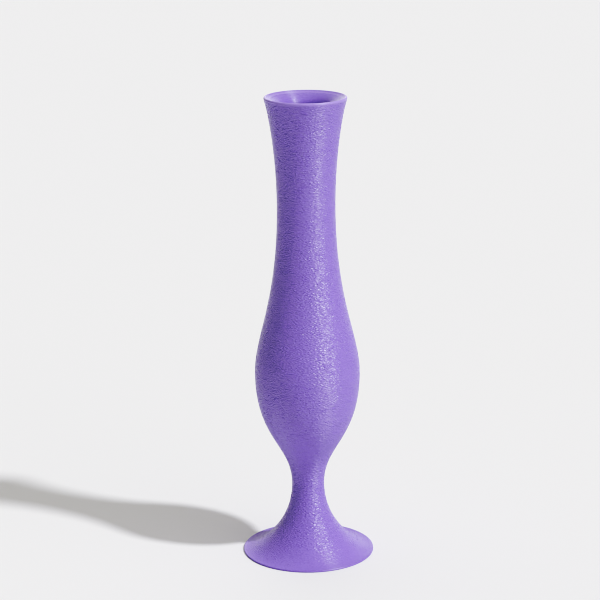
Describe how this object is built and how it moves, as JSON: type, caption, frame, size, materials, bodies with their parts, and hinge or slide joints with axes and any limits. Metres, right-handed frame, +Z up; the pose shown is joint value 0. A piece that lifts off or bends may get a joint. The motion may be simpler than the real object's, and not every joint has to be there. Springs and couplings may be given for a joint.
{
  "type": "bud vase",
  "caption": "Slender round bud vase with a thin flared foot, narrow waist, full bulb, long neck and flared mouth that funnels down to the well; holds a flower stem and stands on its foot.",
  "frame": {"origin": "centre of the foot's underside", "axes": "+Z up along the vase's own axis; the vase is round, so X and Y are free"},
  "size_m": [0.0706, 0.0706, 0.25],
  "materials": {
    "purple_plastic": "satin printed plastic in iris purple with a fine rough grain outside and a smooth lip, funnel and well"
  },
  "bodies": {
    "root": {"vase": "purple_plastic"}
  },
  "joints": []
}
